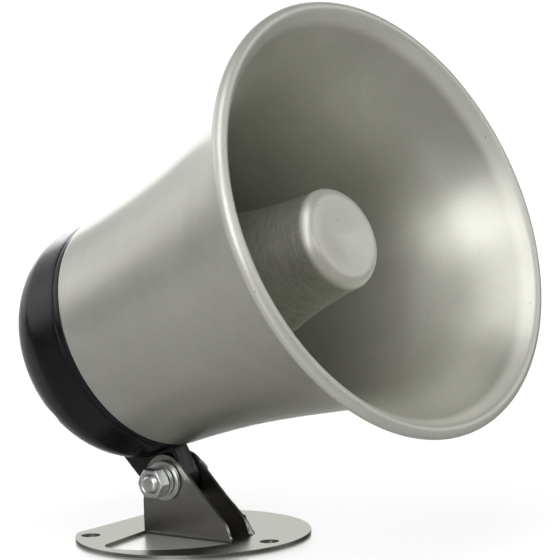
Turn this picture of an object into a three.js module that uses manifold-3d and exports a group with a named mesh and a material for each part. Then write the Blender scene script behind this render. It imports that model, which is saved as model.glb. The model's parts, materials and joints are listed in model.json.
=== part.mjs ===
// Re-entrant horn loudspeaker on a tilting sheet-metal bracket.
// Millimetres, +Z up. The origin is the centre of the round base plate, on its
// underside. The horn points towards +X, and the nut of the pivot is on the -Y side.
import * as THREE from 'three';
import { mergeVertices } from 'three/addons/utils/BufferGeometryUtils.js';
import Module from 'manifold-3d';

const wasm = await Module();
wasm.setup();

// ---------------------------------------------------------------- driving dimensions
const TILT = 23.4 * Math.PI / 180;      // elevation of the horn axis at rest
const PIVOT_X = -5.68, PIVOT_Z = 16.56; // pivot bolt axis above the base plate
const AXIS_RISE = 42.9;                 // horn axis above the pivot, square to the axis
const JOINT_AHEAD = 8.7;                // bell-to-cover joint ahead of the pivot, along the axis

const PLATE_R = 34, PLATE_T = 1.0, PLATE_CHORD_X = -29.8;
const SCREW_HOLE_R = 2.8, SCREW_HOLES = [[-23.6, -17.9], [-23.6, 17.9], [28, 0]];
const EAR_OUT = 4.9, EAR_T = 1.0, EAR_TOP_R = 7.4;
const BEND_OUT_R = 1.5;

const BOLT_R = 2.45, BOLT_TIP_Y = -12.9, PIVOT_HOLE_R = 2.8;
const NUT_AF = 8, NUT_H = 4, HEAD_H = 3.5;
const WASHER_R = 5.8, WASHER_T = 1.0, SPRING_R = 4.5, SPRING_T = 1.3;

const BELL_T = 0.9, BELL_REAR_R = 35.4;
const BEAD_A = 94.4, BEAD_R = 62.7, BEAD_RHO = 2.2; // rolled rim: centre circle and roll radius
const COVER_R = 34.9, COVER_WALL = 2.4, COVER_CYL = 12, DOME_DEPTH = 19.65;
const LUG_HALF = 3.5, LUG_END_R = 6.2;

const CUP_T = 0.8, CAP_A = 80.3, CAP_EDGE = 3.0, CAP_R = 15.0, CAP_DISH = 0.8;
const TUBE_END_A = 52.5;
const ROUND = 28;                       // facets round each large turned piece
const PILLAR_R = 2.9, PILLAR_AT = 27.8, PILLAR_AZ = [90, 210, 330];
const DRIVER_AT = 22.2, DRIVER_AZ = [30, 150, 270];

// ---------------------------------------------------------------- finishes
const steel = (c, r = 0.35) => new THREE.MeshStandardMaterial({ color: c, roughness: r, metalness: 1 });
const FINISH = {
  stainless: steel(0x8b8780, 0.38),
  zinc: steel(0xb9bdbb, 0.3),
  paint: new THREE.MeshStandardMaterial({ color: 0x9c9b93, roughness: 0.45, metalness: 0.75 }),
  cup: new THREE.MeshStandardMaterial({ color: 0x96948b, roughness: 0.5, metalness: 0.75 }),
  gloss_black: new THREE.MeshStandardMaterial({ color: 0x0b0b0c, roughness: 0.16, metalness: 0 }),
  matte_black: new THREE.MeshStandardMaterial({ color: 0x18181a, roughness: 0.6, metalness: 0 }),
  rubber: new THREE.MeshStandardMaterial({ color: 0x111111, roughness: 0.85, metalness: 0 }),
  ferrite: new THREE.MeshStandardMaterial({ color: 0x2c2b2b, roughness: 0.7, metalness: 0.1 }),
  iron: steel(0x9a9a94, 0.45),
  film: new THREE.MeshStandardMaterial({ color: 0xb58a45, roughness: 0.4, metalness: 0 }),
  copper: steel(0xb4683a, 0.35),
  brass: steel(0xb59a4c, 0.35),
  board: new THREE.MeshStandardMaterial({ color: 0x7a4a24, roughness: 0.7, metalness: 0 }),
};

// ---------------------------------------------------------------- solid helpers
// One closed, outward-facing body from any closed geometry.
function tidy(geometry) {
  const g = (geometry.index ? geometry.toNonIndexed() : geometry).clone();
  for (const name of Object.keys(g.attributes)) if (name !== 'position') g.deleteAttribute(name);
  const m = mergeVertices(g, 1e-4);
  const p = m.attributes.position, idx = m.index.array, keep = [];
  for (let i = 0; i < idx.length; i += 3) {
    const [a, b, c] = [idx[i], idx[i + 1], idx[i + 2]];
    if (a !== b && b !== c && a !== c) keep.push(a, b, c);
  }
  let vol = 0;
  const A = new THREE.Vector3(), B = new THREE.Vector3(), C = new THREE.Vector3();
  for (let i = 0; i < keep.length; i += 3) {
    A.fromBufferAttribute(p, keep[i]); B.fromBufferAttribute(p, keep[i + 1]); C.fromBufferAttribute(p, keep[i + 2]);
    vol += A.dot(B.cross(C)) / 6;
  }
  if (vol < 0) for (let i = 0; i < keep.length; i += 3) [keep[i + 1], keep[i + 2]] = [keep[i + 2], keep[i + 1]];
  m.setIndex(keep);
  return m;
}
function body(geometry) {
  const m = tidy(geometry);
  return new wasm.Manifold(new wasm.Mesh({
    numProp: 3,
    vertProperties: new Float32Array(m.attributes.position.array),
    triVerts: new Uint32Array(m.index.array),
  }));
}
function shapeOf(manifold) {
  const m = manifold.getMesh();
  const g = new THREE.BufferGeometry();
  const pos = new Float32Array(m.numVert * 3);
  for (let i = 0; i < m.numVert; i++) for (let k = 0; k < 3; k++) pos[3 * i + k] = m.vertProperties[i * m.numProp + k];
  g.setAttribute('position', new THREE.BufferAttribute(pos, 3));
  g.setIndex(new THREE.BufferAttribute(new Uint32Array(m.triVerts), 1));
  return g;
}
// Turned piece: profile of [distance along the axis, radius], revolved about X.
function turned(profile, segments = 36, closed = false) {
  const pts = profile.map(([a, r]) => new THREE.Vector2(Math.max(r, 0), a));
  if (closed) pts.push(pts[0].clone());
  const g = new THREE.LatheGeometry(pts, segments);
  g.rotateZ(-Math.PI / 2);
  return g;
}
const ring = (a0, a1, r0, r1, segments = 36) => turned([[a0, r0], [a0, r1], [a1, r1], [a1, r0]], segments, true);
const rod = (a0, a1, r, segments = 20) => turned([[a0, 0], [a0, r], [a1, r], [a1, 0]], segments);
const at = (g, x, y, z) => { g.translate(x, y, z); return g; };
const polar = (r, deg) => [r * Math.cos(deg * Math.PI / 180), r * Math.sin(deg * Math.PI / 180)]; // y, z
// Turned piece about Y, for everything on the pivot axis; profile of [y, radius].
function turnedY(profile, segments = 24, closed = false) {
  const g = turned(profile, segments, closed);
  g.rotateZ(Math.PI / 2);
  return g;
}
// Flat outline in X-Z, thickness along Y from y0 to y1.
function slab(shape, y0, y1, curveSegments = 12) {
  const g = new THREE.ExtrudeGeometry(shape, { depth: y1 - y0, bevelEnabled: false, curveSegments });
  g.rotateX(Math.PI / 2);
  g.translate(0, y1, 0);
  return g;
}
function hexagon(af) {
  const s = new THREE.Shape(), r = af / Math.sqrt(3);
  for (let i = 0; i < 6; i++) {
    const t = i * Math.PI / 3;
    i ? s.lineTo(r * Math.cos(t), r * Math.sin(t)) : s.moveTo(r, 0);
  }
  s.closePath();
  return s;
}
function node(name, geometry, material) {
  const mesh = new THREE.Mesh(tidy(geometry), material);
  mesh.name = name;
  return mesh;
}
// Points of an open profile moved square to itself.
function offsetProfile(points, d) {
  return points.map(([a, r], i) => {
    const p = points[Math.max(i - 1, 0)], q = points[Math.min(i + 1, points.length - 1)];
    const ta = q[0] - p[0], tr = q[1] - p[1], l = Math.hypot(ta, tr);
    return [a + d * tr / l, r - d * ta / l];
  });
}

const speaker = new THREE.Group();

// ================================================================ bracket
// Round plate with a straight rear edge. Two ears are punched out of it and
// folded up, and leave two windows beside the middle strip.
{
  const plate = new THREE.Shape();
  const chordAngle = Math.acos(PLATE_CHORD_X / PLATE_R);
  plate.absarc(0, 0, PLATE_R, -chordAngle, chordAngle, false);
  plate.closePath();
  for (const [x, y] of SCREW_HOLES) {
    const h = new THREE.Path();
    h.absarc(x, y, SCREW_HOLE_R, 0, 2 * Math.PI, true);
    plate.holes.push(h);
  }
  const stripHalf = EAR_OUT - BEND_OUT_R;
  // Near window, and the far one, which follows the outline of the ear folded up out of it.
  const windows = [
    [-1, [[-14.4, stripHalf], [-14.1, 5.2], [-11.3, 24.6], [-10.6, 27.0], [-8.9, 28.8], [-5.9, 29.6],
      [-1.9, 29.5], [2.3, 28.2], [6.2, 26.0], [9.7, 23.3], [13.2, 19.8], [16.2, 16.0], [18.0, 12.8],
      [19.3, 9.6], [19.6, 7.0], [19.2, 5.0], [18.4, stripHalf]]],
    [1, [[-14.4, stripHalf], [-14.1, 5.2], [-13.8, 14.0], [-13.3, 20.5], [-12.2, 24.3], [-9.9, 27.1],
      [-6.5, 28.4], [-3.0, 27.6], [0.4, 24.0], [3.8, 20.7], [11.3, 13.0], [15.8, 8.6], [17.6, 6.4],
      [18.3, 5.0], [18.4, stripHalf]]],
  ];
  for (const [side, pts] of windows) {
    const w = new THREE.Path();
    const order = side > 0 ? pts : pts.slice().reverse();
    order.forEach(([x, y], i) => i ? w.lineTo(x, side * y) : w.moveTo(x, side * y));
    w.closePath();
    plate.holes.push(w);
  }
  const sheet = body(new THREE.ExtrudeGeometry(plate, { depth: PLATE_T, bevelEnabled: false, curveSegments: 22 }));

  // U-shaped fold section in Y-Z, run along X.
  const u = new THREE.Shape(), top = PIVOT_Z + EAR_TOP_R + 1, ri = BEND_OUT_R - EAR_T, yc = EAR_OUT - BEND_OUT_R;
  u.moveTo(-yc, 0); u.lineTo(yc, 0);
  u.absarc(yc, BEND_OUT_R, BEND_OUT_R, -Math.PI / 2, 0, false);
  u.lineTo(EAR_OUT, top); u.lineTo(EAR_OUT - EAR_T, top); u.lineTo(EAR_OUT - EAR_T, BEND_OUT_R);
  u.absarc(yc, BEND_OUT_R, ri, 0, -Math.PI / 2, true);
  u.lineTo(-yc, PLATE_T);
  u.absarc(-yc, BEND_OUT_R, ri, -Math.PI / 2, -Math.PI, true);
  u.lineTo(-EAR_OUT + EAR_T, top); u.lineTo(-EAR_OUT, top); u.lineTo(-EAR_OUT, BEND_OUT_R);
  u.absarc(-yc, BEND_OUT_R, BEND_OUT_R, -Math.PI, -Math.PI / 2, false);
  const fold = new THREE.ExtrudeGeometry(u, { depth: 34, bevelEnabled: false, curveSegments: 3 });
  fold.rotateX(Math.PI / 2); fold.rotateZ(Math.PI / 2); // shape x,y to world y,z and depth to +x
  fold.translate(-15, 0, 0);
  // Ear outline in X-Z.
  const ear = new THREE.Shape();
  ear.moveTo(-14.2, -1); ear.lineTo(-14.2, 10.5);
  ear.lineTo(PIVOT_X - EAR_TOP_R, PIVOT_Z - 1.0);
  const front = 32 * Math.PI / 180; // where the round top runs into the slanting front edge
  ear.absarc(PIVOT_X, PIVOT_Z, EAR_TOP_R, Math.PI, front, true);
  ear.lineTo(9.3, 11.7); ear.lineTo(14.6, 7.0);
  ear.quadraticCurveTo(16.6, 5.0, 17.0, 2.6);
  ear.lineTo(18.2, 1.0); ear.lineTo(18.2, -1); ear.closePath();
  let bracket = sheet.add(body(fold).intersect(body(slab(ear, -6, 6, 10))));
  bracket = bracket.subtract(body(at(turnedY([[-8, 0], [-8, PIVOT_HOLE_R], [8, PIVOT_HOLE_R], [8, 0]]), PIVOT_X, 0, PIVOT_Z)));
  speaker.add(node('base_bracket', shapeOf(bracket), FINISH.stainless));
}

// ================================================================ pivot fixings, on the Y axis line of the pivot
const pivot = new THREE.Group();
pivot.position.set(PIVOT_X, 0, PIVOT_Z);
speaker.add(pivot);
{
  const gap = 0.3;
  const farWasher = EAR_OUT + gap, headFace = farWasher + WASHER_T + gap;
  const head = body(slab(hexagon(NUT_AF), headFace, headFace + HEAD_H));
  const shank = body(turnedY([[headFace + 1, 0], [headFace + 1, BOLT_R], [BOLT_TIP_Y + 0.6, BOLT_R], [BOLT_TIP_Y, BOLT_R - 0.6], [BOLT_TIP_Y, 0]]));
  pivot.add(node('pivot_bolt', shapeOf(head.add(shank)), FINISH.zinc));
  const washer = (y0) => turnedY([[y0, PIVOT_HOLE_R], [y0, WASHER_R], [y0 + WASHER_T, WASHER_R], [y0 + WASHER_T, PIVOT_HOLE_R]], 24, true);
  pivot.add(node('pivot_washer_far', washer(farWasher), FINISH.zinc));
  const nearWasher = -EAR_OUT - gap - WASHER_T;
  pivot.add(node('pivot_washer_near', washer(nearWasher), FINISH.zinc));
  const springFace = nearWasher - gap;
  const split = new THREE.Shape(), cut = 0.16;
  split.absarc(0, 0, SPRING_R, cut, 2 * Math.PI - cut, false);
  split.absarc(0, 0, PIVOT_HOLE_R, 2 * Math.PI - cut, cut, true);
  split.closePath();
  pivot.add(node('pivot_spring_washer', slab(split, springFace - SPRING_T, springFace, 12), FINISH.zinc));
  const nutFace = springFace - SPRING_T - gap;
  const nut = hexagon(NUT_AF), bore = new THREE.Path();
  bore.absarc(0, 0, PIVOT_HOLE_R, 0, 2 * Math.PI, true);
  nut.holes.push(bore);
  pivot.add(node('pivot_nut', slab(nut, nutFace - NUT_H, nutFace, 12).rotateY(Math.PI / 6), FINISH.zinc));
}

// ================================================================ the horn, tilted about the pivot
const horn = new THREE.Group();
horn.rotation.y = -TILT;
pivot.add(horn);
// Everything below is laid out along the horn's own axis: x is the distance
// ahead of the joint between bell and cover, z is up square to the axis.
const axis = new THREE.Group();
axis.position.set(JOINT_AHEAD, 0, AXIS_RISE);
horn.add(axis);

// ---------------------------------------------------------------- outer bell
{
  const wall = [[1.3, BELL_REAR_R + 0.1], [14, 36.75], [28, 38.7], [42, 41.3], [55, 44.15], [66, 46.75],
    [74.5, 49.4], [82, 52.6], [87.5, 56.0], [91, 58.7]];
  const beta = 42 * Math.PI / 180, n0 = Math.atan2(-Math.cos(beta), Math.sin(beta));
  const roll = (rho, psi) => [BEAD_A + rho * Math.cos(psi), BEAD_R + rho * Math.sin(psi)];
  const psiEnd = 244 * Math.PI / 180, STEPS = 7;
  const outerRoll = [], innerRoll = [];
  for (let i = 0; i <= STEPS; i++) {
    const psi = n0 + (psiEnd - n0) * i / STEPS;
    outerRoll.push(roll(BEAD_RHO, psi));
    innerRoll.push(roll(BEAD_RHO - BELL_T, psi));
  }
  const inner = offsetProfile([[0.2, BELL_REAR_R], ...wall, [94.9, 61.9]], BELL_T).slice(2, -1);
  const profile = [[0.15, 9.9], [0.15, BELL_REAR_R - 1.0], [0.45, BELL_REAR_R - 0.3], ...wall, ...innerRoll,
    ...outerRoll.slice().reverse(), ...inner.reverse(), [1.6, BELL_REAR_R - BELL_T - 0.25], [1.05, BELL_REAR_R - BELL_T - 0.9], [1.05, 9.9]];
  let bell = body(turned(profile, ROUND, true));
  for (const az of PILLAR_AZ) {
    const [y, z] = polar(PILLAR_AT, az);
    bell = bell.subtract(body(at(rod(-1, 3, 1.7, 10), 0, y, z)));
  }
  axis.add(node('outer_bell', shapeOf(bell), FINISH.paint));
}

// ---------------------------------------------------------------- reflector cup, open to the rear
{
  const outer = [[17, 27.0], [27, 24.2], [37, 21.3], [47, 18.8], [57, 16.85], [67, 15.6], [CAP_A - CAP_EDGE, CAP_R]];
  const edge = [];
  for (let i = 1; i <= 3; i++) {
    const t = i * Math.PI / 6;
    edge.push([CAP_A - CAP_EDGE + CAP_EDGE * Math.sin(t), CAP_R - CAP_EDGE + CAP_EDGE * Math.cos(t)]);
  }
  const dish = [[CAP_A - CAP_DISH * 0.6, 7.5], [CAP_A - CAP_DISH, 0]];
  const skin = [...outer, ...edge, ...dish];
  const inside = offsetProfile(skin, CUP_T);
  inside[0] = [17, 27.0 - CUP_T * 1.04];
  inside[inside.length - 1] = [CAP_A - CAP_DISH - CUP_T, 0];
  axis.add(node('reflector_cup', turned([[CAP_A - CAP_DISH, 0], ...skin.slice(0, -1).reverse(), ...inside], 28), FINISH.cup));
}

// ---------------------------------------------------------------- deflector post, welded inside the cup's end
{
  const tip = TUBE_END_A + 0.6, face = CAP_A - CAP_DISH - CUP_T - 0.3;
  axis.add(node('deflector_post', turned([[face, 0], [face, 8.6], [75, 6.4], [71, 4.8], [66, 3.9], [tip, 3.9], [tip, 1.9], [64, 1.9], [64.6, 0]], 18), FINISH.iron));
  axis.add(node('reflector_screw', turned([[46.6, 0], [46.8, 2.2], [47.6, 3.0], [49.1, 3.2], [49.1, 1.5], [61.5, 1.5], [62.2, 0.9], [62.2, 0]], 12), FINISH.zinc));
}

// ---------------------------------------------------------------- throat moulding: flange, throat tube, spider and pillars
{
  const base = turned([[-2.2, 7.6], [-2.2, COVER_R], [-0.15, COVER_R], [-0.15, 9.45], [TUBE_END_A, 10.7], [TUBE_END_A, 9.2]], ROUND, true);
  let throat = body(base);
  throat = throat.add(body(ring(-5.3, -2.0, 13.0, 17.4, 24)));
  throat = throat.add(body(ring(-4.2, -2.0, 29.7, 30.7, ROUND)));
  for (const az of PILLAR_AZ) {
    const [y, z] = polar(PILLAR_AT, az);
    throat = throat.add(body(at(rod(-13.7, -1.5, PILLAR_R, 10), 0, y, z)));
  }
  for (const az of DRIVER_AZ) {
    const [y, z] = polar(DRIVER_AT, az);
    throat = throat.add(body(at(rod(-8.7, -1.5, 2.5, 10), 0, y, z)));
  }
  // Three-armed spider in the tube's mouth carries the reflector.
  throat = throat.add(body(rod(49.4, TUBE_END_A + 0.3, 3.9, 16)));
  for (let i = 0; i < 3; i++) {
    const arm = new THREE.BoxGeometry(3.0, 1.8, 8.0);
    arm.translate(50.95, 0, 5.9);
    arm.rotateX(i * 2 * Math.PI / 3);
    throat = throat.add(body(arm));
  }
  throat = throat.subtract(body(rod(48, 54, 1.9, 12)));
  for (const az of PILLAR_AZ) {
    const [y, z] = polar(PILLAR_AT, az);
    throat = throat.subtract(body(at(rod(-7.6, 1, 1.6, 10), 0, y, z)));
    throat = throat.subtract(body(at(rod(-15, -8.8, 1.6, 10), 0, y, z)));
  }
  for (const az of DRIVER_AZ) {
    const [y, z] = polar(DRIVER_AT, az);
    throat = throat.subtract(body(at(rod(-10, -3.0, 1.55, 10), 0, y, z)));
  }
  axis.add(node('throat_tube', shapeOf(throat), FINISH.gloss_black));
}

// ---------------------------------------------------------------- bell screws, from inside the bell into the pillars
PILLAR_AZ.forEach((az, i) => {
  const [y, z] = polar(PILLAR_AT, az);
  const screw = turned([[3.3, 0], [3.2, 1.6], [2.5, 2.6], [1.4, 2.8], [1.4, 1.2], [-6.4, 1.2], [-7.1, 0.6], [-7.1, 0]], 8);
  axis.add(node(`bell_screw_${i + 1}`, at(screw, 0, y, z), FINISH.zinc));
});

// ---------------------------------------------------------------- rear cover with its pivot lug
const domeDepth = (r) => DOME_DEPTH * Math.pow(1 - Math.pow(r / COVER_R, 2.79), 1 / 1.55);
{
  const rear = [[-2.5, COVER_R], [-COVER_CYL, COVER_R]];
  for (const f of [0.13, 0.3, 0.48, 0.64, 0.78, 0.89, 0.965]) {
    const r = COVER_R * Math.pow(1 - Math.pow(f, 1.55), 1 / 2.79);
    rear.push([-COVER_CYL - DOME_DEPTH * f, r]);
  }
  rear.push([-COVER_CYL - DOME_DEPTH, 0]);
  const SEG = ROUND;
  const inside = offsetProfile(rear, -COVER_WALL);
  inside[0] = [-2.0, COVER_R - COVER_WALL]; inside[1][1] = COVER_R - COVER_WALL - 0.1;
  inside[inside.length - 1] = [-COVER_CYL - DOME_DEPTH + COVER_WALL, 0];
  const fullOuter = body(turned([[-2.5, 0], ...rear], SEG));
  const fullInner = body(turned([[-2.0, 0], ...inside], SEG));
  const px = -JOINT_AHEAD, pz = -AXIS_RISE;
  const lug = new THREE.Shape();
  lug.moveTo(-3.6, -30); lug.lineTo(-26, -24); lug.lineTo(-22.1, -31.1); lug.lineTo(-19.2, -38.2);
  lug.lineTo(-14.4, -45.2);
  lug.absarc(px, pz, LUG_END_R, 202 * Math.PI / 180, 372 * Math.PI / 180, false);
  lug.closePath();
  let cover = fullOuter.add(body(slab(lug, -LUG_HALF, LUG_HALF, 16))).subtract(fullInner);
  for (const az of PILLAR_AZ) {
    const [y, z] = polar(PILLAR_AT, az);
    cover = cover.add(body(at(rod(-28, -14.1, 4.6, 14), 0, y, z)).intersect(fullOuter));
  }
  for (const az of PILLAR_AZ) {
    const [y, z] = polar(PILLAR_AT, az);
    cover = cover.subtract(body(at(rod(-40, -16.7, 3.3, 14), 0, y, z)));
    cover = cover.subtract(body(at(rod(-18, -13, 1.7, 10), 0, y, z)));
  }
  cover = cover.subtract(body(at(turnedY([[-6, 0], [-6, PIVOT_HOLE_R], [6, PIVOT_HOLE_R], [6, 0]], 24), px, 0, pz)));
  // Cable hole in the back of the dome, square to the shell.
  const hr = 14, slope = Math.atan2(domeDepth(hr - 2) - domeDepth(hr + 2), 4);
  const place = (g) => { g.rotateY(-slope); g.translate(-COVER_CYL - domeDepth(hr), 0, -hr); return g; };
  cover = cover.subtract(body(place(rod(-4, 6, 3.6, 16))));
  axis.add(node('rear_cover', shapeOf(cover), FINISH.gloss_black));
  axis.add(node('cable_grommet', place(turned([[-1.9, 2.0], [-1.9, 3.6], [-1.4, 5.0], [-0.7, 5.3], [-0.7, 3.25], [3.1, 3.25], [3.1, 4.9], [3.9, 4.6],
    [4.3, 3.4], [4.3, 2.0]], 16, true)), FINISH.rubber));
}
PILLAR_AZ.forEach((az, i) => {
  const [y, z] = polar(PILLAR_AT, az);
  const screw = turned([[-19.1, 0], [-19.0, 1.6], [-18.3, 2.6], [-17.0, 2.8], [-17.0, 1.2], [-9.9, 1.2], [-9.2, 0.6], [-9.2, 0]], 8);
  axis.add(node(`cover_screw_${i + 1}`, at(screw, 0, y, z), FINISH.zinc));
});
{
  const seal = [];
  for (let i = 0; i < 5; i++) seal.push([-3.1 + 0.55 * Math.cos(i * Math.PI / 2.5), 31.6 + 0.55 * Math.sin(i * Math.PI / 2.5)]);
  axis.add(node('cover_seal', turned(seal, ROUND, true), FINISH.rubber));
}

// ---------------------------------------------------------------- driver unit
{
  axis.add(node('pole_yoke', turned([[-24.5, 0], [-24.5, 19.0], [-24.0, 19.5], [-21.5, 19.5], [-21.5, 9.3], [-9.0, 9.3], [-9.0, 0]], 20), FINISH.iron));
  axis.add(node('magnet_ring', ring(-21.2, -12.3, 12.0, 19.5, 20), FINISH.ferrite));

  let top = body(ring(-12.0, -9.0, 11.25, 24.6, 20));
  for (const az of DRIVER_AZ) {
    const [y, z] = polar(DRIVER_AT, az);
    top = top.subtract(body(at(rod(-13, -8, 1.65, 10), 0, y, z)));
  }
  top = top.subtract(body(at(rod(-13, -8, 1.45, 10), 0, -22.0, 0)));
  const groove = new THREE.BoxGeometry(2.0, 16, 7.2);
  groove.translate(-9.0, -19.5, 0);
  const eyeletSeat = rod(-10.3, -8, 2.1, 12); eyeletSeat.translate(0, -22.0, 0);
  top = top.subtract(body(groove)).subtract(body(eyeletSeat));
  axis.add(node('top_plate', shapeOf(top), FINISH.iron));

  DRIVER_AZ.forEach((az, i) => {
    const [y, z] = polar(DRIVER_AT, az);
    const screw = turned([[-14.2, 0], [-14.1, 1.3], [-13.5, 2.1], [-12.3, 2.3], [-12.3, 1.2], [-4.0, 1.2], [-3.4, 0.6], [-3.4, 0]], 8);
    axis.add(node(`driver_screw_${i + 1}`, at(screw, 0, y, z), FINISH.zinc));
  });

  // Phase plug: bullet held in its ring by three short ribs.
  let plug = body(ring(-4.7, -2.5, 7.7, 12.6, 24)).add(body(turned([[-4.7, 0], [-4.7, 4.1], [-2.5, 4.1], [1.5, 2.9], [5, 1.5], [8, 0]], 16)));
  for (let i = 0; i < 3; i++) {
    const rib = new THREE.BoxGeometry(1.8, 1.4, 5.6);
    rib.translate(-3.5, 0, 6.0);
    rib.rotateX(i * 2 * Math.PI / 3 + Math.PI / 3);
    plug = plug.add(body(rib));
  }
  axis.add(node('phase_plug', shapeOf(plug), FINISH.matte_black));

  axis.add(node('diaphragm_clamp_ring', ring(-8.0, -5.6, 13.6, 17.3, 24), FINISH.matte_black));
  axis.add(node('diaphragm_surround', turned([[-8.7, 17.2], [-8.35, 17.2], [-8.35, 13.5], [-7.75, 12.6], [-7.55, 11.9], [-7.75, 11.2], [-8.1, 10.6],
    [-8.4, 10.6], [-8.1, 11.2], [-7.9, 11.9], [-8.1, 12.6], [-8.7, 13.4]], 20, true), FINISH.film));
  const dome = [], under = [], H = 2.5, RD = 10.0, D0 = -7.9, FT = 0.3;
  for (let i = 0; i <= 4; i++) {
    const r = RD * (1 - i / 4);
    dome.push([D0 + H * (1 - (r / RD) ** 2), r]);
    under.push([D0 - FT + H * (1 - (r / RD) ** 2), r]);
  }
  axis.add(node('diaphragm_dome', turned([...under.reverse(), ...dome], 20), FINISH.film));
  axis.add(node('coil_former', ring(-13.2, -8.5, 9.7, 10.0, 20), FINISH.film));
  axis.add(node('voice_coil', ring(-12.9, -8.9, 10.27, 10.75, 20), FINISH.copper));

  // Terminal board on the plate's rear face, with two tags and the coil's leads.
  let board = new THREE.BoxGeometry(1.2, 9.2, 9.0);
  board.translate(-12.9, -24.6, 0);
  let strip = body(board).subtract(body(at(rod(-14, -12, 1.45, 10), 0, -22.0, 0)));
  for (const z of [-2.7, 2.7]) strip = strip.subtract(body(at(rod(-14, -12, 1.05, 10), 0, -26.6, z)));
  axis.add(node('terminal_board', shapeOf(strip), FINISH.board));
  axis.add(node('terminal_rivet', at(turned([[-14.5, 0], [-14.4, 1.5], [-13.8, 2.0], [-13.8, 1.1], [-10.0, 1.1], [-10.0, 1.8], [-9.3, 1.5], [-9.3, 0]], 10), 0, -22.0, 0), FINISH.brass));
  for (const [name, z] of [['left', 2.7], ['right', -2.7]]) {
    const tag = new THREE.BoxGeometry(0.5, 5.0, 2.2);
    tag.translate(-14.05, -27.0, z);
    const pin = at(rod(-14.2, -12.6, 0.72, 10), 0, -26.6, z);
    axis.add(node(`terminal_tag_${name}`, shapeOf(body(tag).add(body(pin))), FINISH.brass));
    const s = Math.sign(z);
    const path = new THREE.CatmullRomCurve3([
      new THREE.Vector3(-9.5, -12.2, s * 1.6), new THREE.Vector3(-9.5, -16.5, s * 2.6), new THREE.Vector3(-9.5, -23.6, s * 2.75),
      new THREE.Vector3(-9.9, -27.6, z), new THREE.Vector3(-11.4, -29.9, z), new THREE.Vector3(-13.4, -30.4, z),
      new THREE.Vector3(-14.8, -29.4, z), new THREE.Vector3(-15.0, -27.6, z)]);
    const section = new THREE.Shape();
    for (let i = 0; i < 5; i++) {
      const t = i * Math.PI / 2.5;
      i ? section.lineTo(0.25 * Math.cos(t), 0.25 * Math.sin(t)) : section.moveTo(0.25, 0);
    }
    section.closePath();
    axis.add(node(`coil_lead_${name}`, new THREE.ExtrudeGeometry(section, { steps: 11, extrudePath: path, bevelEnabled: false }), FINISH.copper));
  }
}

export default speaker;
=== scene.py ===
import json
import math
import bpy
import bmesh
import numpy as np
from mathutils import Matrix, Vector

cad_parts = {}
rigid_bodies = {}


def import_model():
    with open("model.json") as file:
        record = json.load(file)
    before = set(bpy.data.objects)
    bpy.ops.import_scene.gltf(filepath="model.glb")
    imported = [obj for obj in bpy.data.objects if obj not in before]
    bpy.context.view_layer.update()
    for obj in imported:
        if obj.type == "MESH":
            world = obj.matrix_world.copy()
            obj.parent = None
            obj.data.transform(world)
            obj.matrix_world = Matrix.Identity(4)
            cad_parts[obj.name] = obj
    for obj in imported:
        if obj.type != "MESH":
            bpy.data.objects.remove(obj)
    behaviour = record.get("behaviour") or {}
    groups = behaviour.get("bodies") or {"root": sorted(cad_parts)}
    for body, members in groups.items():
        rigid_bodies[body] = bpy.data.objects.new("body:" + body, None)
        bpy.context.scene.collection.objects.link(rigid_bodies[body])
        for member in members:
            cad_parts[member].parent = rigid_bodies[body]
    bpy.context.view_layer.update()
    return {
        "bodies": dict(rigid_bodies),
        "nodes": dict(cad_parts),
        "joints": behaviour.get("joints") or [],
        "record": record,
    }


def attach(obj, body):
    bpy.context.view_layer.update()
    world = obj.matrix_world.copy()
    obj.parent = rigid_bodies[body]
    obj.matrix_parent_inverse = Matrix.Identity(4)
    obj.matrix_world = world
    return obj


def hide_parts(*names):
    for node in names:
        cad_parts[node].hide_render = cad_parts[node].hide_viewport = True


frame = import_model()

SC = bpy.context.scene

# ---------------------------------------------------------------- frame of the part, in millimetres
TILT = math.radians(23.4)
CT, ST = math.cos(TILT), math.sin(TILT)
PIVOT = Vector((-5.68, 0.0, 16.56))
J = PIVOT + Vector((8.7 * CT - 42.9 * ST, 0, 8.7 * ST + 42.9 * CT))
MM = Matrix.Scale(0.001, 4)
AXIS = MM @ Matrix.Translation(J) @ Matrix(((CT, 0, -ST, 0), (0, 1, 0, 0), (ST, 0, CT, 0), (0, 0, 0, 1)))
AT_PIVOT = MM @ Matrix.Translation(PIVOT)
SEG = 160
PILLARS = (90, 210, 330)
COVER_R, COVER_CYL, DOME_D = 34.88, 12.0, 19.5


# ---------------------------------------------------------------- mesh helpers
def new_object(name, mesh):
    o = bpy.data.objects.new(name, mesh)
    SC.collection.objects.link(o)
    return o


def from_data(name, verts, faces):
    me = bpy.data.meshes.new(name)
    me.from_pydata([tuple(v) for v in verts], [], faces)
    me.validate()
    bm = bmesh.new()
    bm.from_mesh(me)
    bmesh.ops.remove_doubles(bm, verts=bm.verts, dist=1e-5)
    bmesh.ops.recalc_face_normals(bm, faces=bm.faces)
    bm.to_mesh(me)
    bm.free()
    return new_object(name, me)


def lathe(name, profile, seg=SEG, closed=False, turn=0.0):
    """Profile of (distance along X, radius) revolved about X, in millimetres."""
    verts, faces, rows = [], [], []
    for a, r in profile:
        if r < 1e-6:
            rows.append([len(verts)] * seg)
            verts.append((a, 0, 0))
        else:
            rows.append(list(range(len(verts), len(verts) + seg)))
            for i in range(seg):
                t = 2 * math.pi * i / seg + turn
                verts.append((a, r * math.cos(t), r * math.sin(t)))
    n = len(rows)
    for k in range(n if closed else n - 1):
        p, q = rows[k], rows[(k + 1) % n]
        for i in range(seg):
            j = (i + 1) % seg
            f = [p[i], p[j], q[j], q[i]]
            g = []
            for v in f:
                if v not in g:
                    g.append(v)
            if len(g) > 2:
                faces.append(g)
    return from_data(name, verts, faces)


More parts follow.
